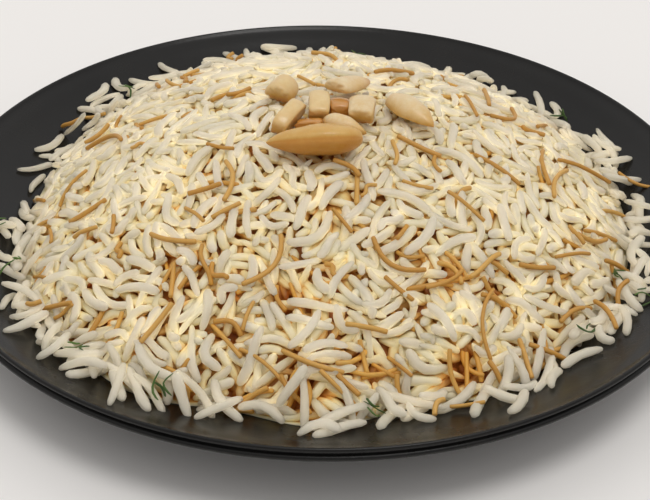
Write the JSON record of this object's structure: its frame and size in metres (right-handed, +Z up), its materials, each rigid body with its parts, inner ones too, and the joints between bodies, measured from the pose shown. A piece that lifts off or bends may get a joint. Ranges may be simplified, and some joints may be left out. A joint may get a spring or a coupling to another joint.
{
  "type": "plate of vermicelli rice with almonds",
  "caption": "Round dark plate heaped with a mound of rice and toasted vermicelli, topped with blanched almonds whole, halved and broken.",
  "frame": {"origin": "on the table, under the centre of the plate's foot ring", "axes": "+Z up, -Y towards the side that the picture looks at, +X to its right"},
  "size_m": [0.205, 0.205, 0.0519],
  "materials": {
    "plate": "satin charcoal glaze",
    "rice": "moist cooked rice with toasted vermicelli",
    "almond": "satin, lightly toasted"
  },
  "bodies": {
    "root": {"plate": "plate", "rice_mound": "rice", "almond_whole": "almond", "almond_half_right": "almond", "almond_half_behind": "almond", "almond_slab_back": "almond", "almond_block_middle": "almond", "almond_block_right": "almond", "almond_toasted_piece": "almond", "almond_sliver_left": "almond", "almond_chip_left": "almond", "almond_crumb": "almond"}
  },
  "joints": []
}
